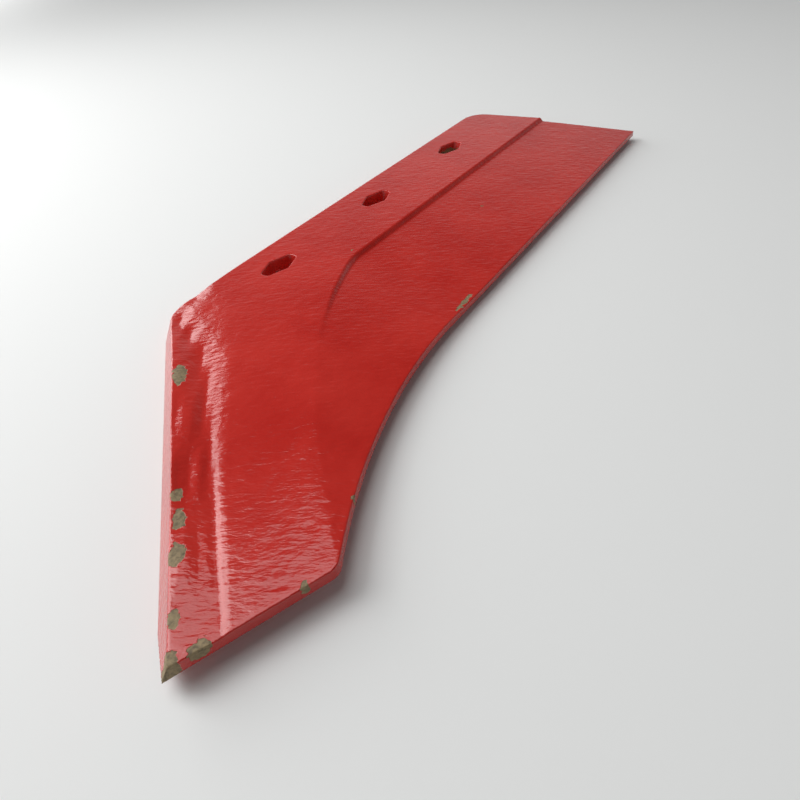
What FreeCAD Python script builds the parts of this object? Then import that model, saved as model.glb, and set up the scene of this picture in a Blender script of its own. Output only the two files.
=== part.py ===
import FreeCAD
import Part
import math
import os

V = FreeCAD.Vector

# A forged plough share of the beaked kind, in one piece. Millimetres.
# X runs along the bolt line from the nose towards the wing, Y towards the mouldboard
# joint, Z up out of the worked face. The origin is the middle bolt hole on the back.

# ---- driving dimensions -------------------------------------------------------------
bolt_pitch = 100.0          # centre to centre of neighbouring bolt holes
bore_radius = 6.5           # round neck of each bolt hole, for an M12 plough bolt
bore_neck = 5.0             # height of the round neck above the back
socket_length = 26.0        # head socket at the face, along the band
socket_width = 16.0         # head socket at the face, across the band
socket_end = 6.0            # flat at each end of the socket
socket_taper = 0.81         # size of the socket at the neck, as a share of the face
socket_round = 2.6          # rounding of the socket's corners

band_thickness = 13.0       # bolt band and nose plate
joint_reach = 24.0          # bolt line to the mouldboard-joint edge
step_reach = 36.5           # bolt line to the step, at the nose end of the band
step_skew = 0.014           # widening of the band towards the wing, per mm
step_depth = 2.5            # drop from the band to the blade
step_run = 3.2              # width taken by the rounded step

wing_x = 191.0              # wing end
wing_rake = 0.085           # lean of the wing end across the band, per mm
wing_round = 16.0           # rounded corner of wing and joint edge
blade_reach = 120.5         # bolt line to the cutting edge, where its bend starts
blade_skew = 0.0125         # narrowing of the blade towards the wing, per mm
blade_edge_z = 7.0          # top of the cutting edge above the back
edge_lift = 3.5             # underside of the cutting edge above the back
under_bevel = 24.0          # width of the bevel under the cutting edge

bend_x = -85.0              # start of the curved part of the cutting edge
bend_radius = 300.0         # radius of the curved part
corner_x = -241.0           # end of the curved part, at the outer nose corner
corner_round = 7.0          # rounding of the outer nose corner

landside_x = -162.3         # where the landside line meets the joint edge
landside_angle = 128.6      # inside angle of joint edge and landside
landside_length = 212.0     # joint edge to the tip, along the landside
landside_lean = 32.0        # lean of the landside wall from upright
landside_round = 12.0       # rounded corner of joint edge and landside
chisel_lift = 7.6           # underside of the chisel edge above the back
chisel_bevel = 22.0         # width of the bevel under the chisel edge
nose_bevel = 30.0           # width of the bevel under the cutting edge, at the nose corner

ridge_width = 16.5          # landside ridge, arris to groove
ridge_rise = 2.0            # ridge above the nose plate
groove_depth = 2.2          # groove below the nose plate, at the joint edge
groove_roll = 45.0          # reach of the rolled flank at the joint edge
groove_roll_tip = 19.0      # and at the tip
ridge_growth = 0.32         # share of the landside over which the ridge grows

fold_bend_x = -68.0         # where the step leaves the band and swings to the nose
fold_angle = 20.0           # heading of the fold just after that bend
fold_radius = 368.0         # radius of the fold from there to the nose corner
fold_fade = 90.0            # length over which the step sinks into the nose plate
fold_ease = 3.0             # softness of the fold
fall_nose = 0.09            # fall of the blade beside the nose, per mm
straight_end = -50.0        # where the straight run of the step ends

edge_round = 1.0            # rounding of the outer top arris

# ---- derived places -----------------------------------------------------------------
ridge_top = band_thickness + ridge_rise
blank_top = ridge_top + 3.0
lid_z = ridge_top + 15.0
zone_width = groove_roll + 1.5
swing = math.radians(landside_angle)
along = V(math.cos(swing), -math.sin(swing), 0)
inward = V(math.sin(swing), math.cos(swing), 0)
landside_root = V(landside_x, joint_reach, 0)


def nose_point(u, v, z=0.0):
    """Point at u along the landside arris from the joint edge and v in from it."""
    return landside_root + along * u + inward * v + V(0, 0, z)


def edge_y(x):
    """Cutting edge across the bolt line, at x."""
    if x >= bend_x:
        return -blade_reach + blade_skew * (x - bend_x)
    reach = min(bend_x - x, 0.95 * bend_radius)
    return -blade_reach - bend_radius + math.sqrt(bend_radius ** 2 - reach ** 2)


def fold_y(x):
    """Top of the step, and of the fold that carries it on to the nose corner."""
    if x >= fold_bend_x:
        return -step_reach - step_skew * (x - fold_bend_x)
    heading = math.radians(fold_angle)
    reach = fold_bend_x - x + fold_radius * math.sin(heading)
    drop = fold_radius * math.cos(heading) - math.sqrt(fold_radius ** 2 - reach ** 2)
    return -step_reach - math.hypot(drop, fold_ease) + fold_ease


def ramp(t):
    """Smooth rise from 0 to 1 while t runs from 0 to 1."""
    t = max(0.0, min(1.0, t))
    return t * t * (3.0 - 2.0 * t)


def nose_share(x):
    """0 where the cutting edge is straight, 1 at the outer nose corner."""
    return max(0.0, (bend_x - x) / (bend_x - corner_x))


def smooth_edge(points):
    """One smooth edge through the points."""
    curve = Part.BSplineCurve()
    curve.interpolate(points)
    return curve.toShape()


def straight_edges(points):
    """Straight edges from point to point."""
    return [Part.makeLine(a, b) for a, b in zip(points[:-1], points[1:])]


def beam(section, step):
    """Solid on a closed polygon of points, extruded by a vector."""
    return Part.Face(Part.makePolygon(section + section[:1])).extrude(step)


def upright_edge_near(shape, place):
    """The edge between two side walls that passes nearest to a place."""
    best = None
    for edge in shape.Edges:
        rise = abs(edge.BoundBox.ZLength)
        if rise < 0.5 * blank_top:
            continue
        gap = edge.distToShape(Part.Vertex(place))[0]
        if best is None or gap < best[0]:
            best = (gap, edge)
    return best[1]


# ---- blank: plan outline of the share, upright walls ---------------------------------
lean = math.tan(math.radians(landside_lean))
foot = ridge_top * lean
tip = nose_point(landside_length, 0)
corner = V(corner_x, edge_y(corner_x), 0)
bend = V(bend_x, edge_y(bend_x), 0)
mid_x = (bend_x + corner_x) / 2
mid = V(mid_x, edge_y(mid_x), 0)
wing_low = V(wing_x, edge_y(wing_x), 0)
wing_top = V(wing_x - wing_rake * (joint_reach + blade_reach), joint_reach, 0)
chisel = (tip - corner).normalize()
tip_out = tip + chisel * (foot / abs(chisel.dot(inward)))
root_out = landside_root - V(foot / math.sin(swing), 0, 0)

outline = Part.Wire([
    Part.makeLine(root_out, wing_top),
    Part.makeLine(wing_top, wing_low),
    Part.makeLine(wing_low, bend),
    Part.Arc(bend, mid, corner).toShape(),
    Part.makeLine(corner, tip_out),
    Part.makeLine(tip_out, root_out),
])
share = Part.Face(outline).extrude(V(0, 0, blank_top))

# The landside wall leans out towards the back.
low_z = -2.0
wall = [
    nose_point(-80, -(ridge_top - low_z) * lean, low_z),
    nose_point(-80, (lid_z - ridge_top) * lean, lid_z),
    nose_point(-80, -60, lid_z),
    nose_point(-80, -60, low_z),
]
share = share.cut(beam(wall, along * (landside_length + 160)))

# Rounded corners of the outline.
for place, radius in (
    (root_out, landside_round),
    (wing_top, wing_round),
    (corner, corner_round),
):
    share = share.makeFillet(radius, [upright_edge_near(share, place)])


# ---- face of the band, nose plate and blade -------------------------------------------
def face_section(x):
    """Section across the share at x: flat band, rounded step, falling blade."""
    y_step = fold_y(x)
    gone = max(0.0, fold_bend_x - x) / fold_fade
    drop = step_depth * (1.0 - ramp(gone))
    blade_run = blade_reach - step_reach
    fall_band = (band_thickness - step_depth - blade_edge_z) / blade_run
    fall = fall_band + (fall_nose - fall_band) * ramp(nose_share(x) * 1.4)
    lead = 4.0
    points = []
    for t in (-lead, -2.2, -1.0, 0.0, 1.0, 2.0, 3.2, 5.0, 9.0, 18.0, 40.0, 75.0, 130.0):
        slide = fall * (math.hypot(max(t, 0.0), fold_ease) - fold_ease)
        z = band_thickness - drop * ramp((t + 1.0) / step_run) - slide
        points.append(V(x, y_step - t, z))
    start = V(x, joint_reach + 30, band_thickness)
    lid = [points[-1], V(x, points[-1].y, lid_z), V(x, start.y, lid_z), start]
    edges = straight_edges([start, points[0]])
    edges.append(smooth_edge(points))
    return Part.Wire(edges + straight_edges(lid))


landside_zone = beam(
    [
        nose_point(-80, zone_width, -5),
        nose_point(-80, zone_width, lid_z + 5),
        nose_point(-80, -80, lid_z + 5),
        nose_point(-80, -80, -5),
    ],
    along * (landside_length + 200),
)
above_blade = Part.makeLoft([face_section(wing_x + 20), face_section(straight_end)], True, True)
stations = [straight_end]
while stations[-1] > corner_x - 15:
    stations.append(stations[-1] - (5.0 if stations[-1] > straight_end - 25 else 22.0))
above_nose = Part.makeLoft([face_section(x) for x in stations], True, False)
blade_side = share.cut(landside_zone).cut(above_blade).cut(above_nose)


# ---- landside ridge and the groove beside it ------------------------------------------
def nose_section(u):
    """Section square to the landside: ridge, groove, rolled flank, flat plate."""
    s = max(0.0, u / landside_length)
    grown = ramp(s / ridge_growth)
    groove_v = ridge_width * grown
    depth = groove_depth * (1.0 - 0.85 * min(s, 1.0))
    rise = (groove_depth + ridge_rise) * grown - groove_depth
    rise = rise + (0.3 - rise) * ramp((s - 0.72) / 0.36)
    groove_z = band_thickness - depth
    ridge_z = max(band_thickness + rise, groove_z)
    roll = groove_roll_tip + (groove_roll - groove_roll_tip) * max(0.0, 1.0 - s) ** 2.2
    points = []
    for f in (1.0, 0.62, 0.4, 0.25, 0.15, 0.07, 0.0):
        v = groove_v - (groove_v + 25.0) * f
        w = (groove_v - v) / max(groove_v, 4.0)
        points.append(nose_point(u, v, groove_z + (ridge_z - groove_z) * ramp(w)))
    for f in (0.05, 0.15, 0.3, 0.5, 0.75, 1.0):
        v = groove_v + (roll - groove_v) * f
        points.append(nose_point(u, v, groove_z + depth * (2.0 * f - f * f)))
    flat_end = nose_point(u, zone_width + 10, band_thickness)
    lid = [
        flat_end,
        nose_point(u, zone_width + 10, lid_z),
        nose_point(u, -25, lid_z),
        points[0],
    ]
    edges = [smooth_edge(points)]
    edges += straight_edges([points[-1], flat_end])
    return Part.Wire(edges + straight_edges(lid))


shares = (-0.28, -0.12, 0.0, 0.08, 0.16, 0.25, 0.36, 0.55, 0.75, 0.9, 1.0, 1.15)
above_ridge = Part.makeLoft([nose_section(landside_length * s) for s in shares], True, False)
nose_side = share.common(landside_zone).cut(above_ridge)
share = blade_side.fuse(nose_side)

# ---- bevels under the cutting edge and the chisel edge ---------------------------------
def bevel_section(x):
    """Wedge under the cutting edge at x."""
    s = min(nose_share(x), 1.2)
    width = under_bevel + (nose_bevel - under_bevel) * s
    lift = edge_lift + (chisel_lift - edge_lift) * s
    y_in = edge_y(x) + width
    y_out = edge_y(x) - 25.0
    z_out = lift * (y_in - y_out) / width
    points = [V(x, y_in, 0), V(x, y_out, z_out), V(x, y_out, -5), V(x, y_in, -5)]
    return Part.makePolygon(points + points[:1])


under_blade = Part.makeLoft([bevel_section(wing_x + 20), bevel_section(bend_x)], True, True)
bend_stations = [bend_x + (corner_x - 20 - bend_x) * k / 6 for k in range(7)]
under_nose = Part.makeLoft([bevel_section(x) for x in bend_stations], True, False)
back_in = V(-chisel.y, chisel.x, 0)
if back_in.dot(along) > 0:
    back_in = back_in * -1
start = corner - chisel * 40
slope = chisel_lift / chisel_bevel
wedge = [
    start + back_in * chisel_bevel,
    start - back_in * 30 + V(0, 0, slope * (chisel_bevel + 30)),
    start - back_in * 30 + V(0, 0, -5),
    start + back_in * chisel_bevel + V(0, 0, -5),
]
under_chisel = beam(wedge, chisel * 160)
for tool in (under_blade, under_nose, under_chisel):
    share = share.cut(tool)


# ---- bolt holes: six-sided head sockets over round necks -------------------------------
def socket_wire(x, z, size):
    """Long six-sided opening with rounded corners, centred on the bolt line."""
    a = socket_length / 2 * size
    b = socket_width / 2 * size
    e = socket_end / 2 * size
    points = [(a, -e), (a, e), (0, b), (-a, e), (-a, -e), (0, -b)]
    ring = Part.makePolygon([V(x + px, py, z) for px, py in points + points[:1]])
    solid = Part.Face(ring).extrude(V(0, 0, 1))
    rounded = solid.makeFillet(
        socket_round * size,
        [edge for edge in solid.Edges if edge.BoundBox.ZLength > 0.5],
    )
    base = [face for face in rounded.Faces if abs(face.BoundBox.ZMax - z) < 1e-6]
    return base[0].OuterWire


grow = (1.0 - socket_taper) / (band_thickness - bore_neck)
over = 2.0
for k in (-1, 0, 1):
    x = k * bolt_pitch
    neck = Part.makeCylinder(bore_radius, bore_neck + 2, V(x, 0, -1))
    socket = Part.makeLoft(
        [
            socket_wire(x, bore_neck, socket_taper),
            socket_wire(x, band_thickness + over, 1.0 + grow * over),
        ],
        True,
        True,
    )
    share = share.cut(neck).cut(socket)

share = share.removeSplitter()
print("valid", share.isValid(), "solids", len(share.Solids), "volume", share.Volume,
      "mass", share.Volume * 7.85e-6, "faces", len(share.Faces), share.BoundBox)

os.makedirs("parts", exist_ok=True)
share.exportStep("parts/share.step")
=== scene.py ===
"""Looks of a forged plough share: its painted skin, worn arrises, chips, and a plain studio."""
import logging
import math
from dataclasses import dataclass
from enum import Enum
from typing import Any

import bpy
from mathutils import Matrix, Vector


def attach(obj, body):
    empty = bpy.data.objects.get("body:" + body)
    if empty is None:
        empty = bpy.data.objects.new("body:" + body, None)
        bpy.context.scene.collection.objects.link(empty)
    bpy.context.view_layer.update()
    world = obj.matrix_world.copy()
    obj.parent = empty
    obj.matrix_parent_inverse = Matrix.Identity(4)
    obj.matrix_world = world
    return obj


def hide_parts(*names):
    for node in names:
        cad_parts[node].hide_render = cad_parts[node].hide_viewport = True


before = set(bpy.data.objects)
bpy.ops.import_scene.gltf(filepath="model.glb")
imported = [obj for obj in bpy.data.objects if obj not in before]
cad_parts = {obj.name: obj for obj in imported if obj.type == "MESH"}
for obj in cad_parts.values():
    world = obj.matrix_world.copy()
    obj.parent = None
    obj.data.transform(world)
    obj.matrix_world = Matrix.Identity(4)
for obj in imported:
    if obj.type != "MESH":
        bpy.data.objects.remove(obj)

LOG = logging.getLogger("plough_share")
MM = 0.001
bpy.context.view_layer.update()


def linear(hex_colour: str) -> tuple[float, float, float, float]:
    """Turns an sRGB hex colour into the linear colour that a shader socket takes.

    Args:
        hex_colour: Six hex digits after a hash sign.

    Returns:
        Red, green, blue and an alpha of one.
    """
    channels = [int(hex_colour[i:i + 2], 16) / 255 for i in (1, 3, 5)]
    red, green, blue = (
        c / 12.92 if c <= 0.04045 else ((c + 0.055) / 1.055) ** 2.4 for c in channels
    )
    return red, green, blue, 1.0


def add_node(
    tree: bpy.types.NodeTree,
    kind: str,
    settings: dict[str, Any] | None = None,
    inputs: dict[str | int, Any] | None = None,
) -> bpy.types.Node:
    """Adds one node, sets it up and feeds its sockets.

    Args:
        tree: Node tree that takes the node.
        kind: Blender's type name for the node.
        settings: Properties of the node and their values.
        inputs: Sockets by name or number, each with a plain value or the output that feeds it.

    Returns:
        The node.
    """
    node = tree.nodes.new(kind)
    for name, value in (settings or {}).items():
        setattr(node, name, value)
    for name, value in (inputs or {}).items():
        if isinstance(value, bpy.types.NodeSocket):
            tree.links.new(value, node.inputs[name])
        else:
            node.inputs[name].default_value = value
    return node


@dataclass(frozen=True)
class Chip:
    """A place where the paint has come off, as an ellipsoid with a ragged edge.

    Args:
        centre: Middle of the chip, in millimetres.
        reach: Half its length and half its width, in millimetres.
        turn: Angle of its length from the bolt row, in degrees.
        depth: Half its height, in millimetres.
    """

    centre: tuple[float, float, float]
    reach: tuple[float, float]
    turn: float = 0.0
    depth: float = 4.0


@dataclass(frozen=True)
class GlossEnamel:
    """Brushed-on gloss alkyd enamel over a drop-forged steel skin.

    The enamel is thick and wet-looking, so it gives the eye sharp reflections that the forging
    scale under it breaks into ripples. Where it is knocked off, dull khaki mill scale shows.
    Lengths are in millimetres on the share.

    Args:
        name: Name of the material.
        deep_red: Paint where it lies thick.
        bright_red: Paint where it lies thin.
        paint_turn: Where the noise turns from one red to the other.
        scale_dark: Darkest mill scale.
        scale_light: Lightest mill scale.
        scale_turn: Where the noise turns from dark to light scale.
        gloss: Roughness of the paint.
        scale_roughness: Roughness of the bare scale.
        ior: Index of refraction of dry alkyd enamel.
        blotch_mm: Width of the thick and thin patches of paint.
        grit_mm: Width of the specks in the scale.
        ripple_mm: Length and width of the ripples that the forging leaves.
        ripple_turn: Angle of the ripples' length from the bolt row, in degrees.
        ripple_height: Height of the ripples.
        dimple_mm: Width of the shallow hammered dimples.
        dimple_height: Depth of the dimples.
        peel_mm: Width of the paint's orange peel.
        peel_height: Height of the orange peel.
        chip_depth: Thickness of the paint, which is how far a chip lies below it.
        chip_edge: Chip half-widths at which the paint is whole and at which it is gone.
        ragged_mm: Width of the notches in a chip's edge.
        ragged_reach: How far the notches move a chip's edge.
        chips: Where the paint has come off.
    """

    name: str = "gloss_enamel_on_forged_steel"
    deep_red: str = "#B6241D"
    bright_red: str = "#C22F27"
    paint_turn: tuple[float, float] = (0.35, 0.65)
    scale_dark: str = "#5C4F38"
    scale_light: str = "#94815F"
    scale_turn: tuple[float, float] = (0.3, 0.62)
    gloss: float = 0.16
    scale_roughness: float = 0.72
    ior: float = 1.5
    blotch_mm: float = 42.0
    grit_mm: float = 1.6
    ripple_mm: tuple[float, float] = (5.5, 2.0)
    ripple_turn: float = -55.0
    ripple_height: float = 0.22
    dimple_mm: float = 7.0
    dimple_height: float = 0.2
    peel_mm: float = 1.1
    peel_height: float = 0.03
    chip_depth: float = 0.16
    chip_edge: tuple[float, float] = (1.04, 0.94)
    ragged_mm: float = 3.2
    ragged_reach: float = 5.0
    chips: tuple[Chip, ...] = (
        # Along the landside ridge, from the joint corner to the tip.
        Chip((-201.5, -30.5, 14.2), (8.5, 3.2), 48),
        Chip((-250.5, -91.0, 14.6), (3.6, 2.2), 48),
        Chip((-257.4, -100.5, 14.6), (5.0, 2.4), 48),
        Chip((-268.0, -112.3, 14.6), (5.0, 2.8), 48),
        Chip((-284.0, -130.6, 14.0), (3.2, 1.9), 48),
        # On the chisel edge and the tip.
        Chip((-285.6, -144.2, 12.6), (4.2, 2.2), -23),
        Chip((-294.0, -139.6, 11.6), (3.4, 3.6), 48),
        Chip((-296.6, -141.5, 9.0), (4.2, 3.8), 48),
        # Inside the bolt hole nearest the wing, which is bare.
        Chip((100.0, 0.0, 6.5), (13.5, 8.5), 0),
        # On the cutting edge and its outer corner, and three nicks in the face.
        Chip((-252.0, -158.8, 12.6), (1.6, 1.4), -23),
        Chip((-79.0, -118.0, 7.4), (9.0, 1.5), 3),
        Chip((-214.8, -150.0, 11.6), (0.9, 0.7), 0),
        Chip((-66.5, -31.8, 13.0), (0.9, 0.6), 0),
        Chip((23.7, -71.9, 9.2), (0.9, 0.6), 20),
    )

    def coordinates(self, tree: bpy.types.NodeTree) -> bpy.types.NodeSocket:
        """Returns the share's own coordinates in millimetres."""
        place = add_node(tree, "ShaderNodeTexCoord")
        scaled = add_node(
            tree, "ShaderNodeVectorMath", {"operation": "SCALE"},
            {0: place.outputs["Object"], "Scale": 1 / MM},
        )
        return scaled.outputs[0]

    def chip_distance(
        self, tree: bpy.types.NodeTree, place: bpy.types.NodeSocket
    ) -> bpy.types.NodeSocket:
        """Measures how far each point is from the nearest chip, one being a chip's edge.

        Args:
            tree: Node tree of the material.
            place: Coordinates in millimetres.

        Returns:
            The distance, in chip half-widths.
        """
        ragged = add_node(
            tree, "ShaderNodeTexNoise", None,
            {"Vector": place, "Scale": 1 / self.ragged_mm, "Detail": 2.5, "Roughness": 0.6},
        )
        centred = add_node(
            tree, "ShaderNodeVectorMath", {"operation": "SUBTRACT"},
            {0: ragged.outputs["Color"], 1: (0.5, 0.5, 0.5)},
        )
        shift = add_node(
            tree, "ShaderNodeVectorMath", {"operation": "SCALE"},
            {0: centred.outputs[0], "Scale": self.ragged_reach},
        )
        moved = add_node(
            tree, "ShaderNodeVectorMath", {"operation": "ADD"},
            {0: place, 1: shift.outputs[0]},
        )
        nearest = None
        for chip in self.chips:
            own = add_node(
                tree, "ShaderNodeMapping", {"vector_type": "TEXTURE"},
                {
                    "Vector": moved.outputs[0],
                    "Location": chip.centre,
                    "Rotation": (0.0, 0.0, math.radians(chip.turn)),
                    "Scale": (*chip.reach, chip.depth),
                },
            )
            length = add_node(
                tree, "ShaderNodeVectorMath", {"operation": "LENGTH"}, {0: own.outputs[0]}
            )
            if nearest is None:
                nearest = length.outputs["Value"]
                continue
            least = add_node(
                tree, "ShaderNodeMath", {"operation": "MINIMUM"},
                {0: nearest, 1: length.outputs["Value"]},
            )
            nearest = least.outputs[0]
        return nearest

    def colour(
        self,
        tree: bpy.types.NodeTree,
        place: bpy.types.NodeSocket,
        chipped: bpy.types.NodeSocket,
    ) -> bpy.types.NodeSocket:
        """Mixes the mottled red paint with the speckled scale in the chips.

        Args:
            tree: Node tree of the material.
            place: Coordinates in millimetres.
            chipped: One where the paint is gone.

        Returns:
            The colour.
        """
        shades = []
        for width, roughness, turn, colours in (
            (self.blotch_mm, 0.6, self.paint_turn, (self.deep_red, self.bright_red)),
            (self.grit_mm, 0.65, self.scale_turn, (self.scale_dark, self.scale_light)),
        ):
            noise = add_node(
                tree, "ShaderNodeTexNoise", None,
                {"Vector": place, "Scale": 1 / width, "Detail": 4.0, "Roughness": roughness},
            )
            ramp = add_node(
                tree, "ShaderNodeValToRGB", None, {"Fac": noise.outputs["Fac"]}
            )
            for stop, position, shade in zip(ramp.color_ramp.elements, turn, colours):
                stop.position = position
                stop.color = linear(shade)
            shades.append(ramp.outputs["Color"])
        mixed = add_node(
            tree, "ShaderNodeMix", {"data_type": "RGBA"},
            {0: chipped, 6: shades[0], 7: shades[1]},
        )
        return mixed.outputs[2]

    def relief(
        self,
        tree: bpy.types.NodeTree,
        place: bpy.types.NodeSocket,
        chipped: bpy.types.NodeSocket,
    ) -> bpy.types.NodeSocket:
        """Adds up the ripples, dimples, orange peel and chips into one surface.

        Args:
            tree: Node tree of the material.
            place: Coordinates in millimetres.
            chipped: One where the paint is gone.

        Returns:
            The normal of the uneven surface.
        """
        turned = add_node(
            tree, "ShaderNodeMapping", {"vector_type": "TEXTURE"},
            {
                "Vector": place,
                "Rotation": (0.0, 0.0, math.radians(self.ripple_turn)),
                "Scale": (*self.ripple_mm, self.ripple_mm[1]),
            },
        )
        ripple = add_node(
            tree, "ShaderNodeTexNoise", None,
            {"Vector": turned.outputs[0], "Scale": 1.0, "Detail": 2.0, "Roughness": 0.5},
        )
        dimples = add_node(
            tree, "ShaderNodeTexNoise", None,
            {"Vector": place, "Scale": 1 / self.dimple_mm, "Detail": 1.0},
        )
        peel = add_node(
            tree, "ShaderNodeTexNoise", None,
            {"Vector": place, "Scale": 1 / self.peel_mm, "Detail": 1.5},
        )
        height = None
        for pattern, amount in (
            (ripple.outputs["Fac"], self.ripple_height),
            (dimples.outputs["Fac"], self.dimple_height),
            (peel.outputs["Fac"], self.peel_height),
            (chipped, -self.chip_depth),
        ):
            term = add_node(
                tree, "ShaderNodeMath", {"operation": "MULTIPLY"}, {0: pattern, 1: amount}
            ).outputs[0]
            if height is not None:
                term = add_node(
                    tree, "ShaderNodeMath", {"operation": "ADD"}, {0: height, 1: term}
                ).outputs[0]
            height = term
        bump = add_node(
            tree, "ShaderNodeBump", None, {"Strength": 1.0, "Distance": MM, "Height": height}
        )
        return bump.outputs[0]

    def make(self) -> bpy.types.Material:
        """Builds the material.

        Returns:
            The finished material.
        """
        material = bpy.data.materials.new(self.name)
        material.use_nodes = True
        tree = material.node_tree
        tree.nodes.clear()
        place = self.coordinates(tree)
        whole, gone = self.chip_edge
        chipped = add_node(
            tree, "ShaderNodeMapRange", {"interpolation_type": "SMOOTHSTEP"},
            {
                "Value": self.chip_distance(tree, place),
                "From Min": whole,
                "From Max": gone,
                "To Min": 0.0,
                "To Max": 1.0,
            },
        ).outputs[0]
        roughness = add_node(
            tree, "ShaderNodeMapRange", None,
            {"Value": chipped, "To Min": self.gloss, "To Max": self.scale_roughness},
        ).outputs[0]
        shader = add_node(
            tree, "ShaderNodeBsdfPrincipled", None,
            {
                "Base Color": self.colour(tree, place, chipped),
                "Roughness": roughness,
                "IOR": self.ior,
                "Normal": self.relief(tree, place, chipped),
            },
        )
        add_node(
            tree, "ShaderNodeOutputMaterial", None, {"Surface": shader.outputs["BSDF"]}
        )
        return material


@dataclass(frozen=True)
class MattPaper:
    """Uncoated pale paper sweep, rolled flat: matt, with hardly any sheen.

    Args:
        name: Name of the material.
        shade: Colour of the paper.
        roughness: Roughness of its surface.
        sheen: Strength of its reflection, 0.5 being that of a smooth plastic.
    """

    name: str = "matt_paper_backdrop"
    shade: str = "#E9EAE9"
    roughness: float = 0.7
    sheen: float = 0.2

    def make(self) -> bpy.types.Material:
        """Builds the material.

        Returns:
            The finished material.
        """
        material = bpy.data.materials.new(self.name)
        material.use_nodes = True
        shader = material.node_tree.nodes["Principled BSDF"]
        shader.inputs["Base Color"].default_value = linear(self.shade)
        shader.inputs["Roughness"].default_value = self.roughness
        shader.inputs["Specular IOR Level"].default_value = self.sheen
        return material


@dataclass
class ForgedShare:
    """The share itself: the CAD solid with its arrises rounded as forging and paint leave them.

    Args:
        node: Name of the CAD node that it stands for.
        weld_gap: Distance under which the node's loose corners are joined.
        fineness: Halvings of the length that give the even mesh its cell, about 0.6 mm.
        fill: Share of the even mesh's grid that the longest side takes up.
        easing: How far each pass moves a corner towards its neighbours, one being all the way.
        rounding: How many times the arrises are eased.
        triangles: Most triangles that the finished skin may have.
    """

    node: str = "share"
    weld_gap: float = 0.01 * MM
    fineness: int = 10
    fill: float = 0.8
    easing: float = 0.5
    rounding: int = 3
    triangles: int = 190000

    def build(self) -> bpy.types.Object:
        """Makes the skin from a welded copy of the CAD node.

        Returns:
            The finished piece.
        """
        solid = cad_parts[self.node]
        bpy.ops.object.select_all(action="DESELECT")
        piece = bpy.data.objects.new("painted_share", solid.data.copy())
        bpy.context.scene.collection.objects.link(piece)
        piece.select_set(True)
        bpy.context.view_layer.objects.active = piece
        bpy.ops.object.mode_set(mode="EDIT")
        bpy.ops.mesh.select_all(action="SELECT")
        bpy.ops.mesh.remove_doubles(threshold=self.weld_gap)
        bpy.ops.object.mode_set(mode="OBJECT")
        even = piece.modifiers.new("even_mesh", "REMESH")
        even.mode = "SHARP"
        even.octree_depth = self.fineness
        even.scale = self.fill
        even.use_remove_disconnected = False
        eased = piece.modifiers.new("eased_arrises", "SMOOTH")
        eased.factor = self.easing
        eased.iterations = self.rounding
        for modifier in ("even_mesh", "eased_arrises"):
            bpy.ops.object.modifier_apply(modifier=modifier)
        # The even mesh is made of quads, and each quad is two triangles.
        quads = len(piece.data.polygons)
        lighter = piece.modifiers.new("lighter_mesh", "DECIMATE")
        lighter.ratio = min(1.0, self.triangles / (2 * quads))
        bpy.ops.object.modifier_apply(modifier="lighter_mesh")
        bpy.ops.object.shade_smooth()
        return piece

    def dress(self, piece: bpy.types.Object, finish: GlossEnamel) -> None:
        """Paints the share and hands it to the frame.

        Args:
            piece: The share's skin.
            finish: The paint.
        """
        piece.data.materials.clear()
        piece.data.materials.append(finish.make())
        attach(piece, "root")
        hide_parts(self.node)


class LightSide(Enum):
    """Where each studio light stands, as seen from the share."""

    WINDOW = "low wide panel beyond the joint edge"
    SOFTBOX = "high box beyond the joint corner"
    FILL = "large box overhead"


@dataclass(frozen=True)
class Lamp:
    """A plain soft area light.

    Args:
        side: Which light this is.
        place: Its middle, in metres.
        target: The point it faces, in metres.
        size: Its width and height, in metres.
        power: Its power, in watts.
    """

    side: LightSide
    place: tuple[float, float, float]
    target: tuple[float, float, float]
    size: tuple[float, float]
    power: float

    def hang(self) -> None:
        """Hangs the light in the scene."""
        light = bpy.data.lights.new(self.side.name.lower(), "AREA")
        light.shape = "RECTANGLE"
        light.size, light.size_y = self.size
        light.energy = self.power
        holder = bpy.data.objects.new(light.name, light)
        bpy.context.scene.collection.objects.link(holder)
        aim = Vector(self.target) - Vector(self.place)
        holder.location = self.place
        holder.rotation_euler = aim.to_track_quat("-Z", "Y").to_euler()


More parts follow.
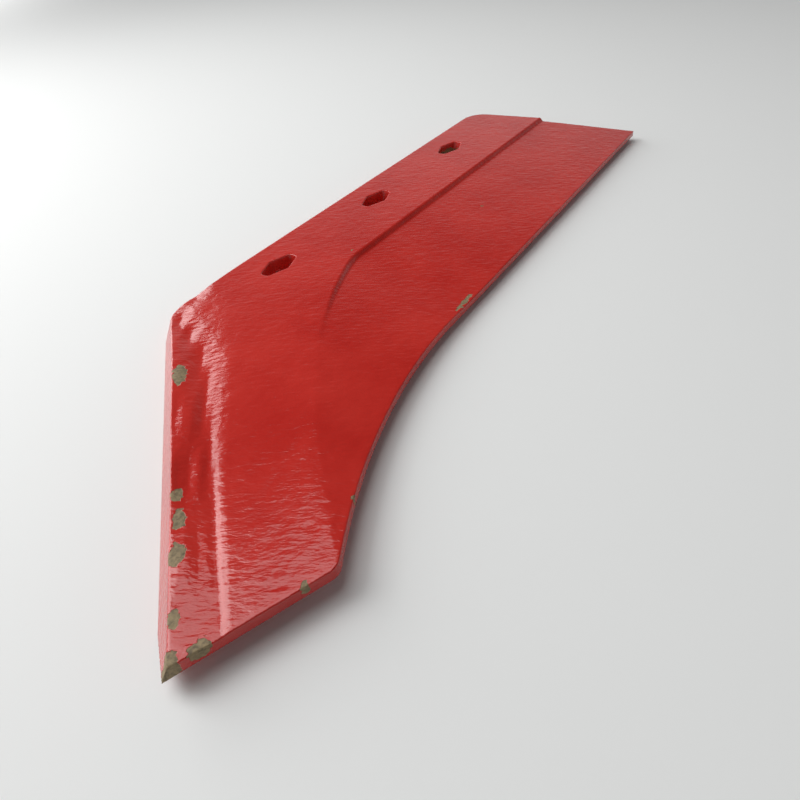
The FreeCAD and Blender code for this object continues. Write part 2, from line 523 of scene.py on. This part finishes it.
@dataclass
class Studio:
    """A plain pale floor, soft lights and the camera.

    Args:
        floor_reach: Half the floor's width, in metres.
        sky_colour: Colour of the room's even light.
        sky_low: Strength of that light near the floor.
        sky_high: Strength of that light overhead.
        sky_fade: Heights between which it fades, as sines of the angle above the floor.
        lens: Focal length, in millimetres.
        sensor: Width of the camera's sensor, in millimetres.
        near_clip: Nearest distance that the camera sees, in metres.
        eye: Where the camera stands, in metres.
        right: Direction to the camera's right.
        up: Direction over the camera's top.
        ahead: Direction in which the camera looks.
        lamps: The soft lights.
    """

    floor_reach: float = 4.0
    sky_colour: str = "#FFFFFF"
    sky_low: float = 0.55
    sky_high: float = 0.06
    sky_fade: tuple[float, float] = (0.2, 0.62)
    lens: float = 25.65
    sensor: float = 36.0
    near_clip: float = 0.01
    eye: tuple[float, float, float] = (-0.30166, -0.25448, 0.18189)
    right: tuple[float, float, float] = (0.5705, -0.8143, -0.1071)
    up: tuple[float, float, float] = (0.6046, 0.3281, 0.7259)
    ahead: tuple[float, float, float] = (0.5559, 0.4789, -0.6795)
    lamps: tuple[Lamp, ...] = (
        Lamp(
            LightSide.WINDOW,
            place=(-0.185, 2.6, 0.85),
            target=(-0.185, 0.0, 0.85),
            size=(2.5, 1.6),
            power=37.0,
        ),
        Lamp(
            LightSide.SOFTBOX,
            place=(-0.49, 0.84, 1.04),
            target=(-0.1, -0.05, 0.0),
            size=(0.8, 0.8),
            power=12.0,
        ),
        Lamp(
            LightSide.FILL,
            place=(-0.1, 0.3, 1.6),
            target=(-0.1, -0.05, 0.0),
            size=(1.0, 1.0),
            power=9.0,
        ),
    )

    def lay_floor(self, finish: MattPaper) -> bpy.types.Object:
        """Makes the pale floor under the share.

        Args:
            finish: What the floor is made of.

        Returns:
            The floor.
        """
        bpy.ops.object.select_all(action="DESELECT")
        bpy.ops.mesh.primitive_plane_add(size=2 * self.floor_reach, location=(0, 0, 0))
        floor = bpy.context.object
        floor.name = "floor"
        floor.data.materials.append(finish.make())
        return floor

    def light_room(self) -> None:
        """Sets the even light of the room, which is brighter near the floor than overhead."""
        world = bpy.data.worlds.new("even_room_light")
        world.use_nodes = True
        tree = world.node_tree
        direction = add_node(tree, "ShaderNodeTexCoord")
        height = add_node(
            tree, "ShaderNodeSeparateXYZ", None, {0: direction.outputs["Generated"]}
        )
        low, high = self.sky_fade
        fade = add_node(
            tree, "ShaderNodeMapRange", {"interpolation_type": "SMOOTHSTEP"},
            {
                "Value": height.outputs["Z"],
                "From Min": low,
                "From Max": high,
                "To Min": self.sky_low,
                "To Max": self.sky_high,
            },
        )
        sky = tree.nodes["Background"]
        sky.inputs["Color"].default_value = linear(self.sky_colour)
        tree.links.new(fade.outputs[0], sky.inputs["Strength"])
        bpy.context.scene.world = world
        bpy.context.scene.view_settings.view_transform = "Standard"

    def place_camera(self) -> None:
        """Stands the camera over the nose, looking along the blade towards the wing."""
        data = bpy.data.cameras.new("camera")
        data.lens = self.lens
        data.sensor_width = self.sensor
        data.clip_start = self.near_clip
        camera = bpy.data.objects.new("camera", data)
        bpy.context.scene.collection.objects.link(camera)
        back = -Vector(self.ahead)
        axes = Matrix((self.right, self.up, back)).transposed().to_4x4()
        camera.matrix_world = Matrix.Translation(self.eye) @ axes
        bpy.context.scene.camera = camera


def main() -> None:
    """Builds the share and its studio in order."""
    logging.basicConfig(level=logging.INFO, format="%(message)s")
    maker = ForgedShare()
    share = maker.build()
    maker.dress(share, GlossEnamel())
    LOG.info("share: %d faces", len(share.data.polygons))
    studio = Studio()
    studio.lay_floor(MattPaper())
    for lamp in studio.lamps:
        lamp.hang()
    studio.light_room()
    studio.place_camera()
    LOG.info("studio: %d lights", len(studio.lamps))


if __name__ == "__main__":
    main()
